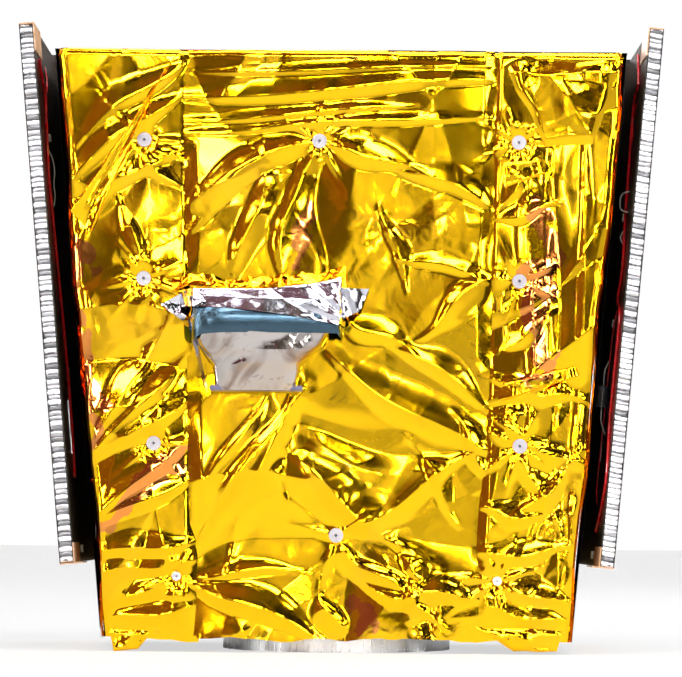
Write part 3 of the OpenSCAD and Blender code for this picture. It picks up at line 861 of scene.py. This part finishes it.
SENSOR_PIECES = [  # name, columns, rows, shape, finish, slot, way it faces
    ("sensor_bowl", 130, 70, bowl_shape, mirror_film, "housing_film", (0, -1, 0)),
    ("sensor_band", 110, 24, band_shape, band_film, "silver_film", (0, -1, 0)),
    ("sensor_hood_film", 150, 60, hood_shape, silver_film, "silver_film", (0, -1, 0)),
    ("sensor_frill", 150, 12, frill_shape, gold_film, "gold_film", (0, -1, 0)),
    ("sensor_edge_left", 6, 30, ear_shape([(-137, 292), (-133, 292), (-118, 230), (-121, 230)], 351),
     silver_film, "silver_film", (0, -1, 0)),
    ("sensor_ear_left", 24, 24, ear_shape([(-161, 305), (-136, 319), (-134, 300), (-141, 290)], 341),
     silver_film, "silver_film", (0, -1, 0)),
    ("sensor_ear_right", 24, 24, ear_shape([(3, 321), (27, 321), (19, 301), (3, 293)], 347),
     silver_film, "silver_film", (0, -1, 0)),
]
for name, columns, rows, shape, finish, slot, way in SENSOR_PIECES:
    piece = film_sheet(name, columns, rows, shape, finish)
    face_out(piece, way)
    area = sum(face.area for face in piece.data.polygons)
    edge = [piece.data.vertices[i].co for i in range(columns + 1)]
    wide = sum((b - a).length for a, b in zip(edge, edge[1:]))
    wide = max(wide, 10 * MM)
    area / wide
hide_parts("sensor_housing")
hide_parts("sensor_hood")

deselect()
rim_z = housing_low[2] + 2 * MM
bpy.ops.mesh.primitive_cube_add(size=1, location=(housing_middle - 10 * MM, front_y - 10 * MM, rim_z))
rim = bpy.context.object
rim.name = "sensor_rim"
rim.scale = (84 * MM, 20 * MM, 5 * MM)
bpy.ops.object.transform_apply(location=True, rotation=True, scale=True)
bevel = rim.modifiers.new("round", "BEVEL")
bevel.width, bevel.segments = 2 * MM, 4
bpy.ops.object.modifier_apply(modifier="round")
rim.data.shade_smooth()
rim.data.materials.append(plain_finish("lavender rim", (0.20, 0.19, 0.33, 1), (0.10, 0.10, 0.17, 1), 0.3, 30, 0.4))
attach(rim, "body")

# %% [markdown]
# ## Open honeycomb edges
# The wings' edges aren't closed with tape, so the cut foil cells show as a ladder of bright ribs with
# dark gaps, none quite like the next. Each wing gets its own frame of place: out from its inner face,
# back from its front edge, and up its slope.

# %% Wing frames
class WingPlace:
    """Places on a wing: out, back and up, in metres from its lower front inner corner."""

    def __init__(self, word):
        self.side = -1 if word == "left" else 1
        self.word = word
        self.up = Vector((self.side * math.sin(lean), 0, math.cos(lean)))
        self.out = Vector((self.side * math.cos(lean), 0, -math.sin(lean)))
        points = [v.co for v in nodes[f"wing_inner_skin_{word}"].data.vertices]
        low_out, low_up = min(p.dot(self.out) for p in points), min(p.dot(self.up) for p in points)
        self.start = self.out * low_out + self.up * low_up + Vector((0, min(p.y for p in points), 0))
        self.length = max(p.dot(self.up) for p in points) - low_up
        self.depth = max(p.y for p in points) - min(p.y for p in points)
        core = [v.co for v in nodes[f"wing_core_{word}"].data.vertices]
        self.core = (min(p.dot(self.out) for p in core) - low_out, max(p.dot(self.out) for p in core) - low_out)

    def at(self, out, back, up):
        """Arrays of x, y, z."""
        return tuple(self.start[i] + out * self.out[i] + up * self.up[i] + (back if i == 1 else 0)
                     for i in range(3))


wings = {word: WingPlace(word) for word in ("left", "right")}
print("wing length", round(wings["left"].length, 4), "core", wings["left"].core)

# %% Honeycomb edges
CELL = 9.525 * MM


def rib_place(along, across, seed):
    """Which cell a place on the edge is in, whether on its near wall, and where on that wall."""
    random = np.random.default_rng(seed)
    phase = along / CELL + 0.06 * np.sin(across * 260 + seed)
    cell = np.floor(phase).astype(int) % 400
    part = phase - np.floor(phase)
    share = 0.52 + random.uniform(-0.08, 0.08, 400)[cell]
    near = part < share
    return cell, near, np.where(near, part / share, (part - share) / (1 - share))


def rib_depth(along, across, seed):
    """How far the cut edge lies inside: each cell shows a near wall and one further in."""
    cell, near, place = rib_place(along, across, seed)
    random = np.random.default_rng(seed + 1)
    tilt, sink = random.uniform(-1, 1, 400)[cell], random.random(400)[cell]
    crown = 1 - np.abs(2 * place - 1) ** 5
    depth = np.where(near, 0.2 + 0.5 * sink, 1.6 + 1.2 * sink) * MM
    dents = 0.45 * MM * smooth_noise(along, across * 3, 0.006, seed + 1)
    return depth + (1 - crown) * 2.4 * MM + tilt * (place - 0.5) * 1.1 * MM + dents


def edge_strip(wing, edge, seed):
    """The front edge runs up the wing; the end edges run back along it."""
    low, high = wing.core

    def shape(u, v):
        across = low + u * (high - low)
        ragged = 0.5 * MM * smooth_noise(v * 0.5, u * 0.02, 0.009, seed + 7) * np.abs(2 * u - 1)
        length = wing.length if edge in ("front", "rear") else wing.depth
        inside = np.clip(rib_depth(v * length, across, seed), 0, 1)
        if edge == "front":
            return wing.at(across + ragged, inside, v * length)
        if edge == "rear":
            return wing.at(across, wing.depth - inside, v * length)
        return wing.at(across + ragged, v * length, wing.length - inside if edge == "top" else inside)
    return shape


def shade_walls(strip, wing, edge, seed):
    """Painted light and shade: each wall gets one of three painted shades of one foil, and the walls' edges, down in
    the grooves, get the darkest.
    """
    for shade in foil.values():
        strip.data.materials.append(shade)
    along_edge = wing.up if edge in ("front", "rear") else Vector((0, 1, 0))
    along = np.array([(Vector(f.center) - wing.start).dot(along_edge) for f in strip.data.polygons])
    across = np.array([(Vector(f.center) - wing.start).dot(wing.out) for f in strip.data.polygons])
    cell, near, place = rib_place(along, across, seed)
    luck = np.random.default_rng(seed + 5).random((400, 2))[cell, near.astype(int)]
    alternate = wing.side < 0
    bright = near & (luck < 0.85) | ~near & (luck > (1.0 if alternate else 0.6))
    shaded = ~near & (luck < (0.6 if alternate else 0.3)) | (np.abs(2 * place - 1) > 0.86)
    strip.data.polygons.foreach_set("material_index", np.where(shaded, 2, np.where(bright, 0, 1)))


for word, wing in wings.items():
    strips = []
    for number, (edge, rows) in enumerate((("front", 820), ("rear", 500), ("top", 360), ("low", 360))):
        shape = edge_strip(wing, edge, 400 + 10 * number + wing.side)
        strip = film_sheet(f"comb_{edge}_{word}", 8, rows, shape, None, f"wing_{word}")
        shade_walls(strip, wing, edge, 400 + 10 * number + wing.side)
        away = {"front": (0, -1, 0), "rear": (0, 1, 0), "top": wing.up, "low": -wing.up}[edge]
        face_out(strip, away)
        strips.append(strip)
    deselect()
    for strip in strips:
        strip.select_set(True)
    bpy.context.view_layer.objects.active = strips[0]
    bpy.ops.object.join()
    comb = bpy.context.object
    comb.name = f"honeycomb_edges_{word}"
    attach(comb, f"wing_{word}")
    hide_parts(f"wing_core_{word}")

# %% [markdown]
# ## Small fittings on the wings
# An amber tape runs down the inner face beside the open edge, and the wires have small things along
# them: a bare tab, white leads at the capsule, and a wire clip. Each is a box or a short tube.

# %% Small fittings
def settled_box(name, wing, low, high, material, rounded=0.0):
    """A box on a wing, from its low corner to its high corner in the wing's own places."""
    deselect()
    bpy.ops.mesh.primitive_cube_add(size=1)
    box = bpy.context.object
    box.name = name
    for vertex in box.data.vertices:
        place = [low[i] if vertex.co[i] < 0 else high[i] for i in range(3)]
        vertex.co = Vector(wing.at(*place))
    if wing.side < 0:
        box.data.flip_normals()
    if rounded:
        bevel = box.modifiers.new("round", "BEVEL")
        bevel.width, bevel.segments = rounded, 3
        bpy.ops.object.modifier_apply(modifier="round")
    box.data.materials.append(material)
    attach(box, f"wing_{wing.word}")
    return box


def settled_tube(name, wing, places, radius, material):
    """A thin round lead through places on a wing."""
    curve = bpy.data.curves.new(name, "CURVE")
    curve.dimensions = "3D"
    curve.bevel_depth, curve.bevel_resolution, curve.resolution_u = radius, 3, 8
    spline = curve.splines.new("NURBS")
    spline.points.add(len(places) - 1)
    for point, place in zip(spline.points, places):
        point.co = (*wing.at(*(item * MM for item in place)), 1)
    spline.use_endpoint_u, spline.order_u = True, 3
    tube = bpy.data.objects.new(name, curve)
    bpy.context.collection.objects.link(tube)
    deselect()
    tube.select_set(True)
    bpy.context.view_layer.objects.active = tube
    bpy.ops.object.convert(target="MESH")
    tube = bpy.context.object
    tube.data.shade_smooth()
    tube.data.materials.append(material)
    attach(tube, f"wing_{wing.word}")
    return tube


TAPE_WIDE = 34 * MM
for word, wing in wings.items():
    clip_top = wing.length - 27 * MM
    settled_box(f"edge_tape_{word}", wing, (-0.25 * MM, 0.6 * MM, 20 * MM), (0.0, TAPE_WIDE, clip_top),
                brown_tape)

right_wing, left_wing = wings["right"], wings["left"]
LEADS = [  # name, wing, radius, finish, slot, places: out, back and up in millimetres; ends go into the panel
    ("capsule_lead_top", right_wing, 0.7, white_wire, "tie_plastic",
     [(-5, 82, 166), (-5, 82, 172), (-6, 79, 180), (-4, 84, 188), (0.5, 90, 195)]),
    ("capsule_lead_low", right_wing, 0.7, white_wire, "tie_plastic",
     [(-5, 82, 150), (-5, 82, 144), (-5, 80, 136), (-3, 78, 130), (0.5, 80, 122)]),
    ("wire_clip", right_wing, 0.7, white_wire, "tie_plastic",
     [(0.5, 58, 350), (-4, 60, 349), (-7, 66, 346), (-7, 68, 340), (-6, 66, 333), (-3, 60, 331), (0.5, 57, 330)]),
    ("short_lead", right_wing, 0.7, white_wire, "tie_plastic",
     [(0.5, 70, 316), (-3, 69, 311), (-4, 66, 305), (0.5, 63, 299)]),
    ("second_wire", right_wing, 0.8, red_wire, "red_wire",
     [(0.5, 64, 240), (-1.5, 68, 232), (-1.5, 78, 210), (-1.5, 84, 160), (-1.5, 90, 112), (-1.5, 95, 84),
      (-1.5, 92, 66), (0.5, 88, 56)]),
    ("branch_wire", right_wing, 0.8, red_wire, "red_wire",
     [(0.5, 56, 434), (-1.5, 62, 430), (-1.5, 72, 424), (-1.5, 76, 414), (0.5, 74, 400)]),
    ("branch_wire", left_wing, 0.8, red_wire, "red_wire",
     [(0.5, 90, 468), (-1.5, 88, 460), (-1.5, 82, 448), (-1.5, 66, 436), (0.5, 54, 436)]),
    ("white_lead", left_wing, 0.7, white_wire, "tie_plastic",
     [(0.5, 60, 386), (-3, 63, 379), (-4, 69, 366), (-2, 65, 352), (-3, 69, 340), (0.5, 72, 332)]),
]
for name, wing, radius, finish, slot, places in LEADS:
    settled_tube(f"{name}_{wing.word}", wing, places, radius * MM, finish)
    print(name, wing.word, round(sum(math.dist(p, q) for p, q in zip(places, places[1:]))), "mm long")
# Both tabs take the lit copy of the honeycomb foil.
settled_box("bright_tab_left", left_wing, (-0.7 * MM, 62 * MM, 100 * MM), (0, 66 * MM, 150 * MM), foil["bright"])
settled_box("bright_tab_right", right_wing, (-0.7 * MM, 96 * MM, 98 * MM), (0, 101 * MM, 116 * MM), foil["bright"])

# %% [markdown]
# ## Button centres
# Each button has a small dark ring in the middle, dimpled at its centre: painted shade standing in for its pin hole.

# %% Button centres
button_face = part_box("blanket_buttons")[0][1]


def button_centre(x, z, size):
    """A small dark ring of painted shade for a pin hole: a cylinder whose end is inset and pushed in."""
    deselect()
    bpy.ops.mesh.primitive_cylinder_add(vertices=16, radius=size, depth=0.8 * MM,
                                        location=(x * MM, button_face - 0.1 * MM, z * MM),
                                        rotation=(math.radians(90), 0, 0))
    hole_mark = bpy.context.object
    bpy.ops.object.mode_set(mode="EDIT")
    bpy.ops.mesh.select_mode(type="FACE")
    bpy.ops.mesh.select_all(action="DESELECT")
    bpy.ops.object.mode_set(mode="OBJECT")
    for face in hole_mark.data.polygons:
        face.select = face.normal.z > 0.9
    bpy.ops.object.mode_set(mode="EDIT")
    bpy.ops.mesh.inset(thickness=0.35 * size)
    bpy.ops.transform.translate(value=(0, 0.5 * MM, 0))
    bpy.ops.object.mode_set(mode="OBJECT")
    bpy.ops.object.transform_apply(location=True, rotation=True, scale=True)
    return hole_mark


hole_marks = [button_centre(x, z, 1.3 * MM) for x, z in BUTTONS] + [button_centre(x, z, 1.0 * MM) for x, z in STUDS]
deselect()
for hole_mark in hole_marks:
    hole_mark.select_set(True)
bpy.context.view_layer.objects.active = hole_marks[0]
bpy.ops.object.join()
hole_marks = bpy.context.object
hole_marks.name = "button_hole_shades"
# Painted shade: the ring's dark colour stands in for the shade in the button's pin hole.
hole_marks.data.materials.append(plain_finish("button hole painted shade", (0.36, 0.34, 0.40, 1), (0.26, 0.24, 0.30, 1), 0.4))
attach(hole_marks, "body")

# %% Round the hard parts' edges
for node_name in ("blanket_buttons", "blanket_studs"):
    bevel = nodes[node_name].modifiers.new("soft edge", "BEVEL")
    bevel.width, bevel.segments = 0.7 * MM, 3
    bevel.limit_method, bevel.angle_limit = "ANGLE", math.radians(50)
